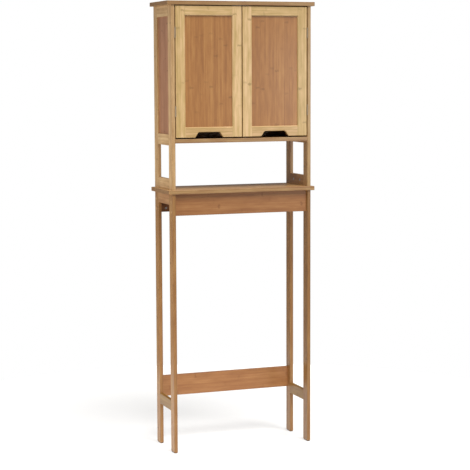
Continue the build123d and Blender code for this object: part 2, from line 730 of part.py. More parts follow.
for side_name, side in side_sign.items():
    middle_x = side * door_middle_x
    front_plane = Plane(origin=(middle_x, front_y, 0), x_dir=(1, 0, 0), z_dir=(0, -1, 0))
    opening_middle_z = (opening_bottom + opening_top) / 2
    opening_height = opening_top - opening_bottom
    panel_y = (door_panel_y - thin_panel / 2, door_panel_y + thin_panel / 2)
    groove_reach = opening_width / 2 + groove_depth
    groove_x = (middle_x - groove_reach, middle_x + groove_reach)
    groove_z = (opening_bottom - groove_depth, opening_top + groove_depth)
    tenon_y = (door_panel_y - tenon_thickness / 2, door_panel_y + tenon_thickness / 2)
    rail_heights = {
        "bottom_rail": (door_bottom, opening_bottom),
        "top_rail": (opening_top, door_top),
    }
    tenon_z = {
        "bottom_rail": (door_bottom + tenon_shoulder, groove_z[0] - tenon_groove_gap),
        "top_rail": (groove_z[1] + tenon_groove_gap, door_top - tenon_shoulder),
    }

    stiles = {
        "hinge_stile": (door_outer_x - stile_width, door_outer_x),
        "meeting_stile": (door_inner_x, door_inner_x + stile_width),
    }
    for name, limits in stiles.items():
        x_limits = sorted(side * limit for limit in limits)
        with BuildPart() as stile:
            slab(x_limits, (front_y, door_rear_y), (door_bottom, door_top))
            front_edges = stile.faces().sort_by(Axis.Y)[0].edges()
            outward = side if name == "hinge_stile" else -side
            perimeter = front_edges.sort_by(Axis.X)[1:]
            if outward < 0:
                perimeter = front_edges.sort_by(Axis.X)[:-1]
            fillet(perimeter, door_easing)
            with BuildSketch(front_plane):
                with Locations((0, opening_middle_z)):
                    Rectangle(opening_width + 2 * opening_bevel, opening_height + 2 * opening_bevel)
            extrude(amount=-opening_bevel, taper=45, mode=Mode.SUBTRACT)
            slab(groove_x, panel_y, groove_z, Mode.SUBTRACT)
            reach = opening_width / 2 + tenon_length + tenon_slack
            for low, high in tenon_z.values():
                slab((middle_x - reach, middle_x + reach), tenon_y, (low, high), Mode.SUBTRACT)
            if name == "hinge_stile":
                hinge_relief(side)
                hinge_screws(side, door_outer_x + leaf_thickness, -1, Mode.SUBTRACT)
            else:
                strike_start = (side * strike_x, door_rear_y + strike_thickness, strike_z)
                screw(strike_start, (0, -1, 0), Mode.SUBTRACT)
        save(stile, f"{side_name}_door_{name}")

    for name, (low, high) in rail_heights.items():
        with BuildPart() as rail:
            rail_x = (middle_x - opening_width / 2, middle_x + opening_width / 2)
            slab(rail_x, (front_y, door_rear_y), (low, high))
            if name == "bottom_rail":
                half_low = notch_bottom_width / 2
                half_high = notch_top_width / 2
                with BuildSketch(front_plane):
                    with BuildLine():
                        Polyline(
                            (-half_low, low),
                            (-half_high, low + notch_height),
                            (half_high, low + notch_height),
                            (half_low, low),
                            close=True,
                        )
                    make_face()
                extrude(amount=-door_thickness, mode=Mode.SUBTRACT)
                notch_top = low + notch_height
                through_edges = rail.edges().filter_by(Axis.Y)
                inner_corners = through_edges.filter_by_position(
                    Axis.Z, notch_top - near, notch_top + near
                )
                fillet(inner_corners, notch_inner_radius)
                through_edges = rail.edges().filter_by(Axis.Y)
                mouth_edges = through_edges.filter_by_position(Axis.Z, low - near, low + near)
                outer_corners = mouth_edges.filter_by_position(
                    Axis.X, middle_x - half_low - near, middle_x + half_low + near
                )
                fillet(outer_corners, notch_outer_radius)
                front_edges = rail.faces().sort_by(Axis.Y)[0].edges()
                lower_outline = front_edges.filter_by_position(Axis.Z, low - near, high - near)
                lower_outline = lower_outline.filter_by_position(
                    Axis.X, rail_x[0] + near, rail_x[1] - near
                )
                fillet(lower_outline, door_easing)
            else:
                front_edges = rail.faces().sort_by(Axis.Y)[0].edges()
                fillet(front_edges.sort_by(Axis.Z)[-1], door_easing)
            with BuildSketch(front_plane):
                with Locations((0, opening_middle_z)):
                    Rectangle(opening_width + 2 * opening_bevel, opening_height + 2 * opening_bevel)
            extrude(amount=-opening_bevel, taper=45, mode=Mode.SUBTRACT)
            slab(rail_x, panel_y, groove_z, Mode.SUBTRACT)
            tenon_reach = opening_width / 2 + tenon_length
            tenon_low, tenon_high = tenon_z[name]
            for end in (-1, 1):
                tenon_x = sorted((middle_x + end * opening_width / 2, middle_x + end * tenon_reach))
                slab(tenon_x, tenon_y, (tenon_low, tenon_high))
        save(rail, f"{side_name}_door_{name}")

    with BuildPart() as door_panel:
        slab(
            (groove_x[0] + groove_slack, groove_x[1] - groove_slack),
            panel_y,
            (groove_z[0] + groove_slack, groove_z[1] - groove_slack),
        )
    save(door_panel, f"{side_name}_door_panel")

    with BuildPart() as strike_plate:
        strike_plane = Plane(
            origin=(side * strike_x, door_rear_y, strike_z), x_dir=(-1, 0, 0), z_dir=(0, 1, 0)
        )
        with BuildSketch(strike_plane):
            RectangleRounded(strike_width, strike_height, strike_corner)
        extrude(amount=strike_thickness)
        strike_start = (side * strike_x, door_rear_y + strike_thickness, strike_z)
        screw(strike_start, (0, -1, 0), Mode.SUBTRACT)
    save(strike_plate, f"{side_name}_strike_plate")

# Hinges


def hinge_half(side, z, plate_limits, own, other, bore_radius):
    # one leaf of a hinge: its plate, its own knuckles, and room for the other leaf's
    knuckle = hinge_length / knuckle_count
    slab(plate_limits, (hinge_y, leaf_rear_y), (z - hinge_length / 2, z + hinge_length / 2))
    for index in other:
        middle = z - hinge_length / 2 + (index + 0.5) * knuckle
        clear = knuckle_radius + leaf_knuckle_gap
        hinge_cylinder(side, middle, clear, knuckle + knuckle_gap, Mode.SUBTRACT)
    for index in own:
        middle = z - hinge_length / 2 + (index + 0.5) * knuckle
        length = knuckle if index in (0, knuckle_count - 1) else knuckle - knuckle_gap
        hinge_cylinder(side, middle, knuckle_radius, length, Mode.ADD)
    hinge_cylinder(side, z, bore_radius, hinge_length + overcut, Mode.SUBTRACT)


frame_knuckles = list(range(0, knuckle_count, 2))
door_knuckles = list(range(1, knuckle_count, 2))

with BuildPart() as frame_hinge_leaves:
    for side in side_sign.values():
        plate = sorted((side * (inner_x - leaf_thickness), side * inner_x))
        for z in hinge_heights:
            hinge_half(side, z, plate, frame_knuckles, door_knuckles, hinge_pin_radius)
        hinge_screws(side, inner_x - leaf_thickness, 1, Mode.SUBTRACT)
save(frame_hinge_leaves, "frame_hinge_leaves")

for side_name, side in side_sign.items():
    with BuildPart() as door_leaves:
        plate = sorted((side * door_outer_x, side * (door_outer_x + leaf_thickness)))
        for z in hinge_heights:
            loose = hinge_pin_radius + hinge_pin_clearance
            hinge_half(side, z, plate, door_knuckles, frame_knuckles, loose)
        hinge_screws(side, door_outer_x + leaf_thickness, -1, Mode.SUBTRACT)
    save(door_leaves, f"{side_name}_door_hinge_leaves")

    with BuildPart() as door_screws:
        hinge_screws(side, door_outer_x + leaf_thickness, -1)
        strike_start = (side * strike_x, door_rear_y + strike_thickness, strike_z)
        screw(strike_start, (0, -1, 0))
        cross_slots(strike_start, (0, -1, 0), screw_slot)
    save(door_screws, f"{side_name}_door_screws")

with BuildPart() as hinge_pins:
    for side in side_sign.values():
        for z in hinge_heights:
            hinge_cylinder(side, z, hinge_pin_radius, hinge_length, Mode.ADD)
            for end in (-1, 1):
                head_z = z + end * (hinge_length / 2 + hinge_pin_head / 2)
                hinge_cylinder(side, head_z, hinge_pin_head_radius, hinge_pin_head, Mode.ADD)
save(hinge_pins, "hinge_pins")

# Magnetic catch

catch_middle_z = top_bottom - catch_height / 2
magnet_z = (catch_middle_z - magnet_height / 2, catch_middle_z + magnet_height / 2)

with BuildPart() as catch_housing:
    slab(
        (-catch_width / 2, catch_width / 2),
        (catch_front_y, catch_front_y + catch_depth),
        (top_bottom - catch_height, top_bottom),
    )
    fillet(catch_housing.edges().filter_by(Axis.Z), catch_corner)
    for side in side_sign.values():
        pocket_x = (side * strike_x - magnet_width / 2, side * strike_x + magnet_width / 2)
        slab(pocket_x, (catch_front_y, catch_front_y + magnet_depth), magnet_z, Mode.SUBTRACT)
    for x in catch_screw_rows:
        access = (x, catch_screw_y, top_bottom - catch_height)
        rod(access, (0, 0, 1), catch_access_radius, catch_height - catch_web, Mode.SUBTRACT)
        screw((x, catch_screw_y, catch_screw_z), (0, 0, 1), Mode.SUBTRACT)
save(catch_housing, "catch_housing")

with BuildPart() as catch_magnets:
    for side in side_sign.values():
        magnet_x = (side * strike_x - magnet_width / 2, side * strike_x + magnet_width / 2)
        slab(magnet_x, (catch_front_y, catch_front_y + magnet_depth), magnet_z)
save(catch_magnets, "catch_magnets")

# Fasteners

with BuildPart() as frame_screws:
    for side in side_sign.values():
        hinge_screws(side, inner_x - leaf_thickness, 1)
    for x in catch_screw_rows:
        start = (x, catch_screw_y, catch_screw_z)
        screw(start, (0, 0, 1))
        cross_slots(start, (0, 0, 1), screw_slot)
save(frame_screws, "frame_screws")

with BuildPart() as frame_dowels:
    for side in side_sign.values():
        for row in post_y:
            for bottom in (lower_side_rail_bottom, cross_rail_bottom):
                rail_dowels(side, row, bottom)
            for bottom in (shelf_top, mid_rail_bottom, top_rail_bottom):
                rail_dowels(side, row, bottom)
            end_dowel(side, floor_dowel_y[row], cabinet_floor_bottom + board_thickness / 2)
        end_dowel(side, wall_rail_y, wall_dowel_z)
save(frame_dowels, "frame_dowels")

with BuildPart() as shelf_dowels:
    for side in side_sign.values():
        for row in post_y:
            shelf_dowel(side, row)
save(shelf_dowels, "shelf_dowels")

with BuildPart() as apron_bolts:
    for side, row, z, nut_way in bolted_joints:
        apron_bolt(side, row, z)
        seat = (side * (outer_x - bolt_counterbore_depth), apron_y[row], z)
        hex_socket(seat, (-side, 0, 0))
save(apron_bolts, "apron_bolts")

with BuildPart() as bolt_caps:
    for side, row, z, nut_way in bolted_joints:
        face = (side * outer_x, apron_y[row], z)
        rod(face, (-side, 0, 0), bolt_counterbore_radius, bolt_cap_height)
save(bolt_caps, "bolt_caps")

with BuildPart() as shelf_bolts:
    for side in side_sign.values():
        for y in shelf_bolt_rows:
            shelf_bolt(side, y)
            hex_socket((side * bar_x, y, shelf_bolt_seat_z), (0, 0, 1))
save(shelf_bolts, "shelf_bolts")

with BuildPart() as barrel_nuts:
    for side, row, z, nut_way in bolted_joints:
        face, inward = apron_nut_face(side, row, z, nut_way)
        barrel_nut(face, inward)
        start = (side * inner_x, apron_y[row], z)
        rod(start, (-side, 0, 0), bolt_radius, 2 * nut_from_end, Mode.SUBTRACT)
    for side in side_sign.values():
        for y in shelf_bolt_rows:
            face, inward = shelf_nut_face(side, y)
            barrel_nut(face, inward)
            start = (side * bar_x, y, shelf_top)
            rod(start, (0, 0, 1), bolt_radius, bar_width, Mode.SUBTRACT)
save(barrel_nuts, "barrel_nuts")

cams = [floor_cam(side, row) for side in side_sign.values() for row in post_y]
cams += [top_cam(side, y) for side in side_sign.values() for y in top_cam_rows]

with BuildPart() as cam_bolts:
    for mouth, inward, bolt_face, bolt_way in cams:
        cam_bolt(bolt_face, bolt_way)
save(cam_bolts, "cam_bolts")

with BuildPart() as cam_locks:
    for mouth, inward, bolt_face, bolt_way in cams:
        cam_lock(mouth, inward, bolt_face, bolt_way)
save(cam_locks, "cam_locks")
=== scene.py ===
import math
import bpy
from mathutils import Matrix, Vector


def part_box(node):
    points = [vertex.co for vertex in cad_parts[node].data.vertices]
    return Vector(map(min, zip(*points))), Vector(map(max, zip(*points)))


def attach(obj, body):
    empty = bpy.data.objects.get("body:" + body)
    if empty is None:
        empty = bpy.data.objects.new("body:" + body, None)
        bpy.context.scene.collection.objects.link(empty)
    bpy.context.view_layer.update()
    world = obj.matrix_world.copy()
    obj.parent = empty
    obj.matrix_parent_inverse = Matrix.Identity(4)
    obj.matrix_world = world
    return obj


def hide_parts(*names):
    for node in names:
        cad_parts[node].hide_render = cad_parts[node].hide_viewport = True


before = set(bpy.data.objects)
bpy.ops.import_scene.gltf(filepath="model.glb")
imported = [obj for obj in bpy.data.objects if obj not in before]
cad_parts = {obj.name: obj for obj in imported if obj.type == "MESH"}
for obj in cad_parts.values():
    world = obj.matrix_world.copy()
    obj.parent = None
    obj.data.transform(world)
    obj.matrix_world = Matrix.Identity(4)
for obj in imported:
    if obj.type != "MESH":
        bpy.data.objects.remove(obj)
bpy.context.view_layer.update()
for thing in bpy.context.selected_objects:
    thing.select_set(False)
print("frame loaded:", len(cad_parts), "nodes")

mm = 0.001


def srgb(code):
    # hex code to the linear colour that shader sockets take
    values = [int(code[i:i + 2], 16) / 255 for i in (1, 3, 5)]
    return [v / 12.92 if v <= 0.04045 else ((v + 0.055) / 1.055) ** 2.4 for v in values] + [1]


def addNode(tree, kind, settings=None, inputs=None):
    # adds one node; an input is a plain value or the socket that feeds it
    node = tree.nodes.new(kind)
    for key, value in (settings or {}).items():
        setattr(node, key, value)
    for key, value in (inputs or {}).items():
        if isinstance(value, bpy.types.NodeSocket):
            tree.links.new(value, node.inputs[key])
        else:
            node.inputs[key].default_value = value
    return node


def newMaterial(name):
    material = bpy.data.materials.new(name)
    material.use_nodes = True
    material.node_tree.nodes.clear()
    return material, material.node_tree


def closeMaterial(tree, shader):
    addNode(tree, "ShaderNodeOutputMaterial", None, {"Surface": shader.outputs[0]})


def dress(piece, material):
    piece.data.materials.clear()
    piece.data.materials.append(material)


# Laminated bamboo: strips about 20 mm wide, split from the cane's wall, planed and glued side by side.
# Each strip has its own tone, straight fibres, and a darker knuckle where the cane had a joint.
bamboo = {
    "stripWidth": 20,        # mm
    "seamWidth": 0.45,       # mm, half of the glue line between strips
    "seamShade": 0.22,
    "thickBoard": 10,        # mm, what is thicker than this is glued from plies
    "plyCount": 3,
    "plySeam": 0.9,          # mm, half of the glue line, drawn thicker than real glue so that it shows
    "plySeamShade": 0.75,
    "knucklePitch": 310,     # mm between knuckles along one strip
    "knuckleHeight": 6.0,    # mm, half height of the darker smudge
    "knuckleWaver": (6, 9),  # mm, how closely its line wavers across and along the strip
    "knuckleBend": 0.05,     # how far it bends, as a share of the pitch
    "knuckleFaintest": 0.1,
    "knuckleVaries": 0.55,
    "knuckleFadesFrom": 0.25,            # share of the strip's width, from its middle
    "knuckleAtSeam": 0.2,    # what is left of it there
    "streakWidth": 5.5,      # mm, drawn coarser than real fibre bundles so that it shows
    "streakLength": 300,     # mm
    "cloudWidth": 14,        # mm, soft blotches of the lacquer
    "cloudLength": 75,       # mm
    "fibreWidth": 0.8,       # mm
    "fibreLength": 60,       # mm
    "roughness": 0.40,       # satin lacquer
    "ior": 1.5,
    "coat": 0.18,
    "coatRoughness": 0.22,
    "bump": 0.12,            # mm
    "bumpStrength": 0.5,
    "fibreHeight": 0.5,      # share of the bump that the fibres give
    "knuckleHeightShare": -0.6,          # a knuckle is a shallow dent
    "glossVaries": (-0.06, 0.08),        # roughness, from fibre to fibre
    "poreWidth": 1.6,        # mm between fibre bundles on the sawn ends
    "poreLength": 50,        # mm
    "poreSize": (0.15, 0.5), # share of the spacing at which a bundle starts and ends to fade
    "poreDarkest": 0.9,      # how dark a bundle is on a sawn end
    "poreShade": 0.45,       # and how dark the wood between the bundles
    "sawnFrom": (0.6, 0.85), # how squarely a face looks along the strips, to count as a sawn end
    "edgeStart": 0.3,        # mm from the edge
    "edgeWidth": 2.4,        # mm, the band along the edges that is drawn browner
    "edgeShade": 0.34,
    "stripVaries": 0.30,     # how much each of these moves the tone
    "streakVaries": 1.20,
    "cloudVaries": 1.10,
    "fibreVaries": 0.30,
    "toneEnds": (0.12, 0.88),            # where the darkest and the lightest tone lie on that scale
}

# The tones of each kind of piece: dark, middle and light cane, then its knuckles.
tones = {
    "doorFrame": ("#C09F5F", "#D7B378", "#EFC894", "#927239"),
    "doorPanel": ("#9A6432", "#AF763E", "#C28C4E", "#7E542A"),
    "post": ("#BC925F", "#D4AB77", "#EAC58F", "#967142"),
    "leg": ("#956534", "#A67643", "#B88B52", "#754D22"),
    "crossRail": ("#805721", "#8E6627", "#9E7732", "#654212"),
    "apron": ("#8F5A31", "#A16C3D", "#B27F4D", "#764722"),
    "board": ("#996B42", "#B18755", "#C5A16B", "#815933"),
    "thinPanel": ("#9D6A47", "#B17B59", "#C48E69", "#7F5134"),
}

# Pieces whose tone is scaled, as a share of their kind's tone, to paint in the shade or light that falls
# on them: painted shade darkens the rear apron, the right-hand posts, legs and base rail and the doors'
# bottom rails; painted light and sheen make the left lower side rail paler and bluer. Only in part is it
# the cane's own darker or paler tone.
paintedShadeAndLight = {
    "rear_apron": (0.50, 0.48, 0.46),
    "lower_side_rail_left": (1.16, 1.18, 1.45),
    "base_rail_right": (0.70, 0.64, 0.56),
    "front_post_right": (0.82, 0.80, 0.72), "rear_post_right": (0.74, 0.70, 0.62),
    "front_leg_right": (0.84, 0.84, 0.84), "rear_leg_right": (0.94, 0.94, 0.94),
    "left_door_bottom_rail": (0.86, 0.82, 0.78), "right_door_bottom_rail": (0.86, 0.82, 0.78),
}


def bambooMaterial(node, tone, seed, contrast=1.0):
    low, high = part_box(node)
    size = high - low
    thick, wide, along = sorted(range(3), key=lambda axis: size[axis])
    stripCount = max(1, round(size[wide] / mm / bamboo["stripWidth"]))
    stripWidth = size[wide] / mm / stripCount
    plies = bamboo["plyCount"] if size[thick] > bamboo["thickBoard"] * mm else 1
    plyHeight = size[thick] / mm / plies
    # the share paints shade or light into this piece's tone
    paintedShare = paintedShadeAndLight.get(node, (1.0, 1.0, 1.0))
    dark, middle, light, knuckle = [
        [c * k for c, k in zip(srgb(code), paintedShare)] + [1] for code in tones[tone]]

    material, tree = newMaterial("laminated bamboo, " + node.replace("_", " "))
    coordinates = addNode(tree, "ShaderNodeTexCoord")
    place = addNode(tree, "ShaderNodeMapping", None, {
        "Vector": coordinates.outputs["Object"],
        "Location": [-c / mm for c in low],
        "Scale": (1 / mm, 1 / mm, 1 / mm)})
    parts = addNode(tree, "ShaderNodeSeparateXYZ", None, {0: place.outputs[0]})

    def calculate(operation, a, b=0.0, c=0.0):
        return addNode(tree, "ShaderNodeMath", {"operation": operation}, {0: a, 1: b, 2: c}).outputs[0]

    def fromEdge(axis):
        width = size[axis] / mm
        return calculate("MINIMUM", parts.outputs[axis], calculate("SUBTRACT", width, parts.outputs[axis]))

    # which strip and which ply a point lies in, and a random value for each
    stripPosition = calculate("DIVIDE", parts.outputs[wide], stripWidth)
    strip = calculate("FLOOR", stripPosition)
    plyPosition = calculate("DIVIDE", calculate("ADD", parts.outputs[thick], 0.01), plyHeight)
    ply = calculate("FLOOR", plyPosition)
    # the odd factors here and below only keep the random values apart
    cell = calculate("MULTIPLY_ADD", strip, 7.31, calculate("MULTIPLY_ADD", ply, 3.17, seed * 1.93))
    stripRandom = addNode(tree, "ShaderNodeTexWhiteNoise", {"noise_dimensions": "1D"}, {"W": cell})
    channels = addNode(tree, "ShaderNodeSeparateColor", None, {0: stripRandom.outputs["Color"]})

    # fibres and streaks: noise stretched along the strip
    def stretched(width, length, detail, shift):
        scale = [1 / width] * 3
        scale[along] = 1 / length
        spread = addNode(tree, "ShaderNodeMapping", None, {
            "Vector": place.outputs[0], "Location": (shift, shift * 0.7, shift * 1.3), "Scale": scale})
        return addNode(tree, "ShaderNodeTexNoise", None, {
            "Vector": spread.outputs[0], "Scale": 1.0, "Detail": detail, "Roughness": 0.55}).outputs[0]

    streak = stretched(bamboo["streakWidth"], bamboo["streakLength"], 3, seed * 5.3)
    fibre = stretched(bamboo["fibreWidth"], bamboo["fibreLength"], 2, seed * 2.9)
    cloud = stretched(bamboo["cloudWidth"], bamboo["cloudLength"], 3, seed * 1.7)
    patch = stretched(*bamboo["knuckleWaver"], 2, seed * 4.1)

    # a knuckle once in each pitch, at its own height on each strip
    travel = calculate("MULTIPLY_ADD", parts.outputs[along], 1 / bamboo["knucklePitch"],
                       calculate("MULTIPLY", channels.outputs[1], 11.0))
    turn = calculate("FLOOR", travel)
    knuckleRandom = addNode(tree, "ShaderNodeTexWhiteNoise", {"noise_dimensions": "1D"}, {
        "W": calculate("MULTIPLY_ADD", turn, 13.7, calculate("MULTIPLY", cell, 3.3))})
    knuckleChannels = addNode(tree, "ShaderNodeSeparateColor", None, {0: knuckleRandom.outputs["Color"]})
    centre = calculate("MULTIPLY_ADD", knuckleChannels.outputs[0], 0.5, 0.25)
    wobble = calculate("MULTIPLY_ADD", patch, bamboo["knuckleBend"], -bamboo["knuckleBend"] / 2)
    distance = calculate("ABSOLUTE", calculate("SUBTRACT",
                         calculate("ADD", calculate("FRACT", travel), wobble), centre))
    band = addNode(tree, "ShaderNodeMapRange", {"interpolation_type": "SMOOTHSTEP"}, {
        "Value": distance, "From Min": 0.0,
        "From Max": bamboo["knuckleHeight"] / bamboo["knucklePitch"], "To Min": 1.0, "To Max": 0.0})
    # the mark fades towards the edges of its strip, and some are faint
    across = calculate("ABSOLUTE", calculate("SUBTRACT", calculate("FRACT", stripPosition), 0.5))
    fade = addNode(tree, "ShaderNodeMapRange", {"interpolation_type": "SMOOTHSTEP"}, {
        "Value": across, "From Min": bamboo["knuckleFadesFrom"], "From Max": 0.5,
        "To Min": 1.0, "To Max": bamboo["knuckleAtSeam"]})
    strength = calculate("MULTIPLY", fade.outputs[0],
                         calculate("MULTIPLY_ADD", knuckleChannels.outputs[1],
                                   bamboo["knuckleVaries"], bamboo["knuckleFaintest"]))
    mark = calculate("MULTIPLY", band.outputs[0], strength)

    # one value for the tone: strip, streaks, clouds and fibres
    value = 0.5
    for source, varies in ((channels.outputs[0], "stripVaries"), (streak, "streakVaries"),
                           (cloud, "cloudVaries"), (fibre, "fibreVaries")):
        offset = calculate("SUBTRACT", source, 0.5)
        value = calculate("MULTIPLY_ADD", offset, bamboo[varies] * contrast, value)
    ramp = addNode(tree, "ShaderNodeValToRGB", None, {0: value})
    for element, position, colour in zip(ramp.color_ramp.elements, bamboo["toneEnds"], (dark, light)):
        element.position = position
        element.color = colour
    ramp.color_ramp.elements.new(0.5).color = middle
    marked = addNode(tree, "ShaderNodeMix", {"data_type": "RGBA"}, {
        "Factor": mark, 6: ramp.outputs[0], 7: knuckle})

    # a hair-thin glue line between strips, and a wider one between plies
    seam = addNode(tree, "ShaderNodeMapRange", None, {
        "Value": across, "From Min": 0.5 - bamboo["seamWidth"] / stripWidth, "From Max": 0.5,
        "To Min": 0.0, "To Max": bamboo["seamShade"]})
    inPly = calculate("ABSOLUTE", calculate("SUBTRACT", calculate("FRACT", plyPosition), 0.5))
    plySeam = addNode(tree, "ShaderNodeMapRange", None, {
        "Value": inPly, "From Min": 0.5 - bamboo["plySeam"] / plyHeight, "From Max": 0.5,
        "To Min": 0.0, "To Max": bamboo["plySeamShade"] if plies > 1 else 0.0})
    inside = calculate("GREATER_THAN", fromEdge(thick), plyHeight / 2)
    glued = addNode(tree, "ShaderNodeMix", {"data_type": "RGBA"}, {
        "Factor": calculate("MAXIMUM", seam.outputs[0], calculate("MULTIPLY", plySeam.outputs[0], inside)),
        6: marked.outputs[2], 7: knuckle})

    # long edges are a little browner than the faces
    edge = addNode(tree, "ShaderNodeMapRange", {"interpolation_type": "SMOOTHSTEP"}, {
        "Value": calculate("MAXIMUM", fromEdge(wide), fromEdge(thick)),
        "From Min": bamboo["edgeStart"], "From Max": bamboo["edgeWidth"],
        "To Min": bamboo["edgeShade"], "To Max": 0.0})
    edged = addNode(tree, "ShaderNodeMix", {"data_type": "RGBA"}, {
        "Factor": edge.outputs[0], 6: glued.outputs[2], 7: knuckle})

    # sawn ends show the cut fibre bundles as dark dots
    facing = addNode(tree, "ShaderNodeSeparateXYZ", None, {0: coordinates.outputs["Normal"]})
    sawn = addNode(tree, "ShaderNodeMapRange", None, {
        "Value": calculate("ABSOLUTE", facing.outputs[along]),
        "From Min": bamboo["sawnFrom"][0], "From Max": bamboo["sawnFrom"][1]})
    poreScale = [1 / bamboo["poreWidth"]] * 3
    poreScale[along] = 1 / bamboo["poreLength"]
    poreSpread = addNode(tree, "ShaderNodeMapping", None, {"Vector": place.outputs[0], "Scale": poreScale})
    pores = addNode(tree, "ShaderNodeTexVoronoi", None, {"Vector": poreSpread.outputs[0], "Scale": 1.0})
    pore = addNode(tree, "ShaderNodeMapRange", None, {
        "Value": pores.outputs["Distance"],
        "From Min": bamboo["poreSize"][0], "From Max": bamboo["poreSize"][1],
        "To Min": bamboo["poreDarkest"], "To Max": bamboo["poreShade"]})
    ended = addNode(tree, "ShaderNodeMix", {"data_type": "RGBA"}, {
        "Factor": calculate("MULTIPLY", sawn.outputs[0], pore.outputs[0]),
        6: edged.outputs[2], 7: knuckle})

    height = calculate("MULTIPLY_ADD", fibre, bamboo["fibreHeight"],
                       calculate("MULTIPLY", mark, bamboo["knuckleHeightShare"]))
    bump = addNode(tree, "ShaderNodeBump", None, {
        "Strength": bamboo["bumpStrength"], "Distance": bamboo["bump"] * mm, "Height": height})
    smoothest, roughest = [bamboo["roughness"] + step for step in bamboo["glossVaries"]]
    sheen = addNode(tree, "ShaderNodeMapRange", None, {
        "Value": fibre, "To Min": smoothest, "To Max": roughest})
    shader = addNode(tree, "ShaderNodeBsdfPrincipled", None, {
        "Base Color": ended.outputs[2],
        "Roughness": sheen.outputs[0],
        "IOR": bamboo["ior"],
        "Coat Weight": bamboo["coat"],
        "Coat Roughness": bamboo["coatRoughness"],
        "Normal": bump.outputs[0]})
    closeMaterial(tree, shader)
    return material


# Which tone each wooden node takes.
woodTone = {
    "left_door_panel": "doorPanel", "right_door_panel": "doorPanel",
    "front_apron": "apron", "rear_apron": "apron", "lower_back_rail": "apron",
    "wall_fixing_rail": "apron", "shelf_board": "board", "top_board": "board",
    "cabinet_floor_board": "board", "inner_shelf": "board",
    "side_panel_left": "thinPanel", "side_panel_right": "thinPanel",
    "cabinet_back_panel": "doorPanel",
}
for side in ("left", "right"):
    for member in ("hinge_stile", "meeting_stile", "top_rail", "bottom_rail"):
        woodTone[f"{side}_door_{member}"] = "doorFrame"
    for member in ("front_leg", "rear_leg", "lower_side_rail"):
        woodTone[f"{member}_{side}"] = "leg"
    for member in ("front_post", "rear_post", "base_rail", "mid_rail", "top_side_rail"):
        woodTone[f"{member}_{side}"] = "post"
    woodTone[f"cross_rail_{side}"] = "crossRail"
calm = {"doorPanel": 0.72, "thinPanel": 0.72, "apron": 0.68}      # sheets and aprons vary less
for seed, (node, tone) in enumerate(sorted(woodTone.items())):
    dress(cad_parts[node], bambooMaterial(node, tone, seed + 1, calm.get(tone, 1.0)))
print("bamboo done:", len(woodTone), "pieces")


# A small-grained finish for plated metal, moulded plastic and turned wood.
plain = {
    "roughnessVaries": 0.05,
    "bumpStrength": 0.15,
    "bump": 0.03,            # mm
}


def plainMaterial(name, colour, roughness, metallic, grain, unevenness=0.06):
    # colour and roughness vary with a grain of that many mm
    material, tree = newMaterial(name)
    coordinates = addNode(tree, "ShaderNodeTexCoord")
    noise = addNode(tree, "ShaderNodeTexNoise", None, {
        "Vector": coordinates.outputs["Object"], "Scale": 1 / (grain * mm), "Detail": 2.0})
    base = srgb(colour)
    shade = addNode(tree, "ShaderNodeMix", {"data_type": "RGBA"}, {
        "Factor": noise.outputs[0],
        6: [c * (1 - unevenness) for c in base[:3]] + [1],
        7: [min(1, c * (1 + unevenness)) for c in base[:3]] + [1]})
    rough = addNode(tree, "ShaderNodeMapRange", None, {
        "Value": noise.outputs[0],
        "To Min": roughness - plain["roughnessVaries"], "To Max": roughness + plain["roughnessVaries"]})
    bump = addNode(tree, "ShaderNodeBump", None, {
        "Strength": plain["bumpStrength"], "Distance": plain["bump"] * mm, "Height": noise.outputs[0]})
    shader = addNode(tree, "ShaderNodeBsdfPrincipled", None, {
        "Base Color": shade.outputs[2], "Roughness": rough.outputs[0], "Metallic": metallic,
        "Normal": bump.outputs[0]})
    closeMaterial(tree, shader)
    return material


satinNickel = plainMaterial("satin nickel plate", "#BCA98F", 0.40, 1.0, 0.4)
brightZinc = plainMaterial("bright zinc plate", "#C6C8CA", 0.30, 1.0, 0.6)
magnetSteel = plainMaterial("sintered magnet", "#55565A", 0.5, 1.0, 0.8)
whiteAbs = plainMaterial("moulded white ABS", "#E6E1D6", 0.42, 0.0, 0.9)
darkPolyethylene = plainMaterial("moulded dark polyethylene", "#2B211B", 0.55, 0.0, 0.7)
tanPolyethylene = plainMaterial("moulded tan polyethylene", "#BE9464", 0.48, 0.0, 0.8)
turnedBeech = plainMaterial("turned beech", "#D4B083", 0.6, 0.0, 1.5, 0.15)
finishes = {
    "frame_hinge_leaves": satinNickel, "left_door_hinge_leaves": satinNickel,
    "right_door_hinge_leaves": satinNickel, "hinge_pins": satinNickel,
    "left_strike_plate": satinNickel, "right_strike_plate": satinNickel,
    "left_door_screws": satinNickel, "right_door_screws": satinNickel,
    "frame_screws": satinNickel, "apron_bolts": brightZinc, "shelf_bolts": brightZinc,
    "barrel_nuts": brightZinc, "cam_bolts": brightZinc, "cam_locks": brightZinc,
    "shelf_pins": brightZinc, "catch_magnets": magnetSteel, "catch_housing": whiteAbs,
    "foot_glides": darkPolyethylene, "bolt_caps": tanPolyethylene,
    "frame_dowels": turnedBeech, "shelf_dowels": turnedBeech,
}
for node, material in finishes.items():
    dress(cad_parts[node], material)
print("metal and plastic done")


rimAngle = 40        # degrees, edges sharper than this are rounded
smoothAngle = 35     # degrees, edges flatter than this are shaded smooth


def start(piece, name):
    # names a new primitive and puts it into edit mode, with nothing selected
    piece.name = name
    bpy.ops.object.transform_apply(location=False, rotation=True, scale=True)
    bpy.ops.object.mode_set(mode="EDIT")
    bpy.ops.mesh.select_mode(type="FACE")
    bpy.ops.mesh.select_all(action="DESELECT")
    return piece


def pickFaces(piece, way, height):
    # selects the faces that look a way and lie at a height along it, to 0.05 mm
    bpy.ops.mesh.select_all(action="DESELECT")
    bpy.ops.object.mode_set(mode="OBJECT")
    for face in piece.data.polygons:
        lined = face.normal.dot(Vector(way)) > 0.95
        level = face.center.dot(Vector(way))
        face.select = lined and abs(level - height) < 0.05 * mm
    bpy.ops.object.mode_set(mode="EDIT")


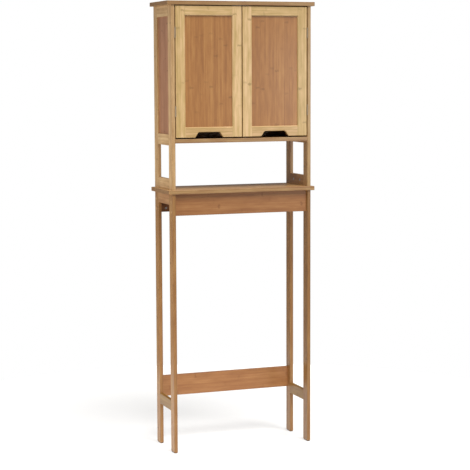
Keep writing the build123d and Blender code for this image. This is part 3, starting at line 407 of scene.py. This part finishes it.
def roundCorners(piece, height, radius, segments):
    # rounds the upright edges of a box and leaves it in face mode
    for edge in piece.data.edges:
        first, last = [piece.data.vertices[i].co for i in edge.vertices]
        edge.select = abs(first.z - last.z) > height / 2
    bpy.ops.object.mode_set(mode="EDIT")
    bpy.ops.mesh.select_mode(type="EDGE")
    bpy.ops.mesh.bevel(offset=radius, segments=segments, affect="EDGES")
    bpy.ops.mesh.select_mode(type="FACE")


def roundRims(piece, width, segments):
    # rounds every edge that is sharp enough
    soften = piece.modifiers.new("rim", "BEVEL")
    soften.width = width
    soften.segments = segments
    soften.angle_limit = math.radians(rimAngle)
    bpy.ops.object.modifier_apply(modifier=soften.name)


def copyTo(piece, places, name):
    # puts a copy at each place, each with its own mesh, and joins them into one piece
    copies = []
    for place in places:
        copy = piece.copy()
        copy.data = piece.data.copy()
        bpy.context.collection.objects.link(copy)
        copy.location = place
        copies.append(copy)
    bpy.data.objects.remove(piece)
    bpy.ops.object.select_all(action="DESELECT")
    for copy in copies:
        copy.select_set(True)
    bpy.context.view_layer.objects.active = copies[0]
    bpy.ops.object.join()
    bpy.ops.object.transform_apply(location=True, rotation=True, scale=True)
    joined = bpy.context.object
    joined.name = name
    joined.select_set(False)
    return joined


# Plastic caps over the bolt heads: a flat disc that fills the counterbore and swells to a low dome.
boltCap = {
    "radius": 6.0,           # mm, fills the counterbore
    "thickness": 2.0,
    "domeHeight": 0.7,
    "domeSteps": (0.55, 0.3, 0.15),      # share of that height that each ring adds
    "firstRing": 0.9,        # mm wide
    "ringGrows": 0.7,        # mm that each ring is wider than the last
    "rim": 0.35,             # mm, rounding of the dome's edge
    "firstBolt": 15,         # mm above the lower edge of an apron
    "boltPitch": 40,
    "boltsPerEnd": 2,
}


def makeBoltCap(side):
    bpy.ops.mesh.primitive_cylinder_add(vertices=48, radius=boltCap["radius"] * mm,
                                        depth=boltCap["thickness"] * mm, rotation=(0, math.pi / 2, 0))
    cap = start(bpy.context.object, "boltCap")
    way = Vector((side, 0, 0))
    pickFaces(cap, way, boltCap["thickness"] / 2 * mm)
    for ring, part in enumerate(boltCap["domeSteps"]):
        bpy.ops.mesh.inset(thickness=(boltCap["firstRing"] + boltCap["ringGrows"] * ring) * mm, depth=0)
        bpy.ops.transform.translate(value=way * boltCap["domeHeight"] * part * mm)
    bpy.ops.object.mode_set(mode="OBJECT")
    roundRims(cap, boltCap["rim"] * mm, 2)
    bpy.ops.object.shade_smooth_by_angle(angle=math.radians(smoothAngle))
    return cap


capPlaces = {-1: [], 1: []}
for board in ("front_apron", "rear_apron", "lower_back_rail"):
    low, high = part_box(board)
    for side in capPlaces:
        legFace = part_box("front_leg_left")[0].x if side < 0 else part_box("front_leg_right")[1].x
        for step in range(boltCap["boltsPerEnd"]):
            capPlaces[side].append((
                legFace - side * boltCap["thickness"] / 2 * mm, (low.y + high.y) / 2,
                low.z + (boltCap["firstBolt"] + step * boltCap["boltPitch"]) * mm))
leftCaps = copyTo(makeBoltCap(-1), capPlaces[-1], "left_bolt_caps")
rightCaps = copyTo(makeBoltCap(1), capPlaces[1], "right_bolt_caps")
for caps in (leftCaps, rightCaps):
    dress(caps, tanPolyethylene)
    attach(caps, "frame")
    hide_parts("bolt_caps")
print("bolt caps done")

# The double catch: one white moulding with a pocket for each magnet and a well for each screw.
catch = {
    "corner": 2.0,           # mm, rounding of its upright edges
    "rim": 0.5,
    "magnetWidth": 24.0,     # mm
    "wellRadius": 3.0,
    "wellInset": 5.0,        # mm from its ends and its rear face
    "wellFloor": 2.0,
}


def makeCatch():
    low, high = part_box("catch_housing")
    magnetLow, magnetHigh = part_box("catch_magnets")
    size = high - low
    middle = (low + high) / 2
    bpy.ops.mesh.primitive_cube_add(size=1, scale=size)
    housing = start(bpy.context.object, "catchHousing")
    bpy.ops.object.mode_set(mode="OBJECT")
    roundCorners(housing, size.z, catch["corner"] * mm, 4)
    bpy.ops.object.mode_set(mode="OBJECT")
    roundRims(housing, catch["rim"] * mm, 2)

    # pockets and wells are cut by solids that are then removed
    magnetWidth = catch["magnetWidth"] * mm
    cutters = []
    for side in (-1, 1):
        edge = magnetLow.x if side < 0 else magnetHigh.x
        centre = Vector((edge - side * magnetWidth / 2, (magnetLow.y + magnetHigh.y) / 2,
                         (magnetLow.z + magnetHigh.z) / 2)) - middle
        bpy.ops.mesh.primitive_cube_add(size=1, location=centre, scale=(
            magnetWidth, magnetHigh.y - magnetLow.y, magnetHigh.z - magnetLow.z))
        cutters.append(start(bpy.context.object, "pocketCutter"))
        bpy.ops.object.mode_set(mode="OBJECT")
    wellX = size.x / 2 - catch["wellInset"] * mm
    for x in (-wellX, 0, wellX):
        depth = size.z - catch["wellFloor"] * mm
        bpy.ops.mesh.primitive_cylinder_add(vertices=32, radius=catch["wellRadius"] * mm, depth=depth,
                                            location=(x, size.y / 2 - catch["wellInset"] * mm,
                                                      -size.z / 2 + depth / 2))
        cutters.append(start(bpy.context.object, "wellCutter"))
        bpy.ops.object.mode_set(mode="OBJECT")
    for cutter in cutters:
        cut = housing.modifiers.new("cut", "BOOLEAN")
        cut.operation = "DIFFERENCE"
        cut.solver = "EXACT"
        cut.object = cutter
        bpy.context.view_layer.objects.active = housing
        bpy.ops.object.modifier_apply(modifier=cut.name)
        bpy.data.objects.remove(cutter)
    housing.select_set(True)
    bpy.ops.object.shade_smooth_by_angle(angle=math.radians(smoothAngle))
    return copyTo(housing, [middle], "catch_moulding")


catchMoulding = makeCatch()
dress(catchMoulding, whiteAbs)
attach(catchMoulding, "frame")
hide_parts("catch_housing")
print("catch done")

# Glides: moulded pads with a rounded lower rim and a peg that is driven into the leg.
glide = {
    "inset": 1.5,            # mm inside the foot of the leg
    "corner": 2.0,           # mm, rounding of its upright edges
    "rim": 0.3,              # mm, rounding where it meets the floor
    "soleWidth": 1.8,        # mm, the ring that it stands on
    "recess": 0.5,           # mm, hollow in the middle of its sole, and as wide a slope down to it
    "pegRadius": 2.5,
    "pegLength": 12,
    "pegTip": 0.8,           # mm, rounding of the peg's end
    "lift": 0.01,            # mm, because the rounding dips that far below the sole
}


def makeGlide(leg):
    low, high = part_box(leg)
    height = low.z
    size = (high.x - low.x - 2 * glide["inset"] * mm, high.y - low.y - 2 * glide["inset"] * mm, height)
    bpy.ops.mesh.primitive_cube_add(size=1, scale=size)
    pad = start(bpy.context.object, "glidePad")
    bpy.ops.object.mode_set(mode="OBJECT")
    roundCorners(pad, height, glide["corner"] * mm, 5)
    pickFaces(pad, (0, 0, -1), height / 2)
    bpy.ops.mesh.inset(thickness=glide["soleWidth"] * mm, depth=0)
    bpy.ops.mesh.inset(thickness=glide["recess"] * mm, depth=-glide["recess"] * mm)
    bpy.ops.object.mode_set(mode="OBJECT")
    roundRims(pad, glide["rim"] * mm, 3)
    bpy.ops.mesh.primitive_cylinder_add(vertices=24, radius=glide["pegRadius"] * mm,
                                        depth=glide["pegLength"] * mm,
                                        location=(0, 0, (height + glide["pegLength"] * mm) / 2))
    peg = start(bpy.context.object, "glidePeg")
    pickFaces(peg, (0, 0, 1), glide["pegLength"] / 2 * mm)
    bpy.ops.mesh.bevel(offset=glide["pegTip"] * mm, segments=2, affect="EDGES")
    bpy.ops.object.mode_set(mode="OBJECT")
    pad.select_set(True)
    bpy.context.view_layer.objects.active = pad
    bpy.ops.object.join()
    bpy.ops.object.shade_smooth_by_angle(angle=math.radians(smoothAngle))
    place = ((low.x + high.x) / 2, (low.y + high.y) / 2, height / 2 + glide["lift"] * mm)
    return copyTo(pad, [place], leg.replace("leg", "glide"))


for leg in ("front_leg_left", "front_leg_right", "rear_leg_left", "rear_leg_right"):
    pad = makeGlide(leg)
    dress(pad, darkPolyethylene)
    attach(pad, "frame")
    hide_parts("foot_glides")
print("glides done")

# A plain pale floor, soft light from all round, and a few broad lamps.
studio = {
    "floorRadius": 1.7,          # m
    "floorColour": "#BCBBB9",
    "floorGlow": 0.5,            # keeps the shadows on the floor faint
    "skyLight": 0.16,            # what the white surroundings give the rack
    "skyShine": 0.22,            # and what its lacquer reflects of them
    "sunPlace": (0, -4, 5),
    "sunStrength": 3.6,
    "sunHeight": 60,             # degrees above the floor
    "sunTurn": 6,                # degrees to the right of the rack's front
    "sunSize": 34,               # degrees across, so that its shadows are soft
}
# Lamps: power in W, width and height in m, place, and the point that they face.
lamps = {
    "leftStrip": (3.8, (0.35, 2.0), (-0.75, -0.1, 0.95), (-0.3, 0, 0.95)),
    "sheenSoftbox": (16.0, (0.5, 0.8), (1.85, -3.6, 1.4), (0.1, 0, 1.4)),     # sheen of the right door
    "backSoftbox": (65.0, (2.0, 1.4), (2.4, 2.2, 0.8), (0, 0, 0.9)),
}
hiddenInGloss = ["backSoftbox"]       # so that the large back panel keeps its colour
bpy.ops.mesh.primitive_circle_add(vertices=96, radius=studio["floorRadius"], fill_type="NGON")
floor = bpy.context.object
floor.name = "studioFloor"
floorMaterial, floorTree = newMaterial("pale studio floor")
floorShader = addNode(floorTree, "ShaderNodeBsdfPrincipled", None, {
    "Base Color": srgb(studio["floorColour"]), "Roughness": 0.9, "Specular IOR Level": 0.0,
    "Emission Color": (1, 1, 1, 1), "Emission Strength": studio["floorGlow"]})
closeMaterial(floorTree, floorShader)
dress(floor, floorMaterial)

# White all round to the eye, while the light that it gives is dimmer, so that the rack keeps its shading.
world = bpy.data.worlds.new("studioWorld")
world.use_nodes = True
sky = world.node_tree
sky.nodes.clear()
rays = addNode(sky, "ShaderNodeLightPath")
dim = addNode(sky, "ShaderNodeBackground", None, {"Color": (1, 1, 1, 1), "Strength": studio["skyLight"]})
white = addNode(sky, "ShaderNodeBackground", None, {"Color": (1, 1, 1, 1), "Strength": 1.0})
shine = addNode(sky, "ShaderNodeBackground", None, {"Color": (1, 1, 1, 1), "Strength": studio["skyShine"]})
given = addNode(sky, "ShaderNodeMixShader", None, {
    0: rays.outputs["Is Glossy Ray"], 1: dim.outputs[0], 2: shine.outputs[0]})
seen = addNode(sky, "ShaderNodeMixShader", None, {
    0: rays.outputs["Is Camera Ray"], 1: given.outputs[0], 2: white.outputs[0]})
addNode(sky, "ShaderNodeOutputWorld", None, {"Surface": seen.outputs[0]})
bpy.context.scene.world = world
bpy.context.scene.view_settings.view_transform = "Standard"

sunWay = Matrix.Rotation(math.radians(studio["sunTurn"]), 4, "Z")
sunWay = sunWay @ Matrix.Rotation(math.radians(90 - studio["sunHeight"]), 4, "X")
bpy.ops.object.light_add(type="SUN", location=studio["sunPlace"])
sun = bpy.context.object
sun.name = "broadSoftLight"
sun.rotation_euler = sunWay.to_euler()
sun.data.energy = studio["sunStrength"]
sun.data.angle = math.radians(studio["sunSize"])

for name, (power, size, place, target) in lamps.items():
    bpy.ops.object.light_add(type="AREA", location=place)
    lamp = bpy.context.object
    lamp.name = name
    lamp.data.shape = "RECTANGLE"
    lamp.data.size, lamp.data.size_y = size
    lamp.data.energy = power
    lamp.rotation_euler = (Vector(target) - Vector(place)).to_track_quat("-Z", "Y").to_euler()
    lamp.visible_camera = False
    lamp.visible_glossy = name not in hiddenInGloss

# The camera stands front left, a little above the middle of the rack, with a long lens.
view = {
    "place": (-2.16895, -5.85993, 1.51152),
    "yaw": 20.38,
    "pitch": 6.05,
    "roll": -0.23,
    "lens": 119.1,
    "sensor": 36,
    "farthest": 200,         # m
}
bpy.ops.object.camera_add(location=view["place"])
camera = bpy.context.object
camera.name = "mainCamera"
turn = Matrix.Rotation(-math.radians(view["yaw"]), 4, "Z")
turn = turn @ Matrix.Rotation(math.radians(90 - view["pitch"]), 4, "X")
turn = turn @ Matrix.Rotation(math.radians(view["roll"]), 4, "Z")
camera.rotation_euler = turn.to_euler()
camera.data.lens = view["lens"]
camera.data.sensor_width = view["sensor"]
camera.data.clip_end = view["farthest"]
bpy.context.scene.camera = camera
print("stage, light and camera done")
